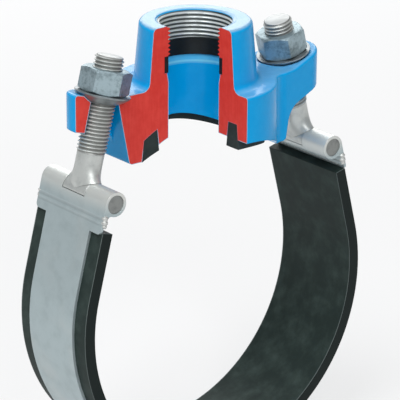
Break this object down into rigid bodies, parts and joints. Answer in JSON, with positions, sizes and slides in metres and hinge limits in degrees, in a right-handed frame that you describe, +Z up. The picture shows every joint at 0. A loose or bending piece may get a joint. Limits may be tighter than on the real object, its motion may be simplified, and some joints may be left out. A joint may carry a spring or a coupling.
{
  "type": "tapping saddle",
  "caption": "Sectioned tapping saddle with a threaded outlet, clamped on a pipe by a rubber-lined strap, T-bolts, nuts and spherical washers.",
  "frame": {"origin": "where the axis of the clamped pipe meets the axis of the threaded outlet", "axes": "+Z up along the outlet, out of its mouth; +Y along the pipe; +X across the pipe, towards the bolt on the whole side of the saddle; the cut-away quarter is at -X, -Y"},
  "size_m": [0.1958, 0.0888, 0.2519],
  "materials": {
    "coated_iron": "sky blue epoxy coating, section faces painted red",
    "strap_steel": "pickled stainless sheet",
    "bolt_steel": "matt stainless",
    "nut_steel": "bright zinc",
    "black_rubber": "moulded"
  },
  "bodies": {
    "saddle": {"saddle_body": "coated_iron", "saddle_gasket": "black_rubber", "outlet_seal_ring": "black_rubber"},
    "stirrup": {"strap": "strap_steel", "strap_lining": "black_rubber"},
    "left_bolt": {"left_cross_bar": "bolt_steel", "left_stud": "bolt_steel"},
    "left_washer_body": {"left_washer": "nut_steel"},
    "left_nut_body": {"left_nut": "nut_steel"},
    "right_bolt": {"right_cross_bar": "bolt_steel", "right_stud": "bolt_steel"},
    "right_washer_body": {"right_washer": "nut_steel"},
    "right_nut_body": {"right_nut": "nut_steel"}
  },
  "joints": [
    {"name": "clamp_draw", "type": "slide", "parent": "saddle", "child": "stirrup", "axis": [0, 0, -1], "range_m": [0, 0.006]},
    {"name": "left_bolt_swing", "type": "hinge", "parent": "stirrup", "child": "left_bolt", "pos_m": [-0.07538, 0, 0.07329], "axis": [0, -1, 0], "range_deg": [-0.2, 1.4]},
    {"name": "right_bolt_swing", "type": "hinge", "parent": "stirrup", "child": "right_bolt", "pos_m": [0.07538, 0, 0.07329], "axis": [0, 1, 0], "range_deg": [-0.2, 1.4]},
    {"name": "left_washer_travel", "type": "slide", "parent": "left_bolt", "child": "left_washer_body", "axis": [0.2487, 0, 0.9686], "range_m": [-0.0001, 0.006]},
    {"name": "right_washer_travel", "type": "slide", "parent": "right_bolt", "child": "right_washer_body", "axis": [-0.2487, 0, 0.9686], "range_m": [-0.0001, 0.006]},
    {"name": "left_nut_turn", "type": "hinge", "parent": "left_washer_body", "child": "left_nut_body", "pos_m": [-0.06056, 0, 0.13102], "axis": [0.2487, 0, 0.9686], "range_deg": [-20, 1080]},
    {"name": "right_nut_turn", "type": "hinge", "parent": "right_washer_body", "child": "right_nut_body", "pos_m": [0.06056, 0, 0.13102], "axis": [-0.2487, 0, 0.9686], "range_deg": [-20, 1080]}
  ],
  "couplings": [
    {"joint": "left_bolt_swing", "follows": "clamp_draw", "rad_per_m": 3.3533},
    {"joint": "right_bolt_swing", "follows": "clamp_draw", "rad_per_m": 3.3533},
    {"joint": "left_washer_travel", "follows": "clamp_draw", "ratio": 0.9711},
    {"joint": "right_washer_travel", "follows": "clamp_draw", "ratio": 0.9711},
    {"joint": "left_nut_turn", "follows": "clamp_draw", "rad_per_m": 3050.8},
    {"joint": "right_nut_turn", "follows": "clamp_draw", "rad_per_m": 3050.8}
  ]
}
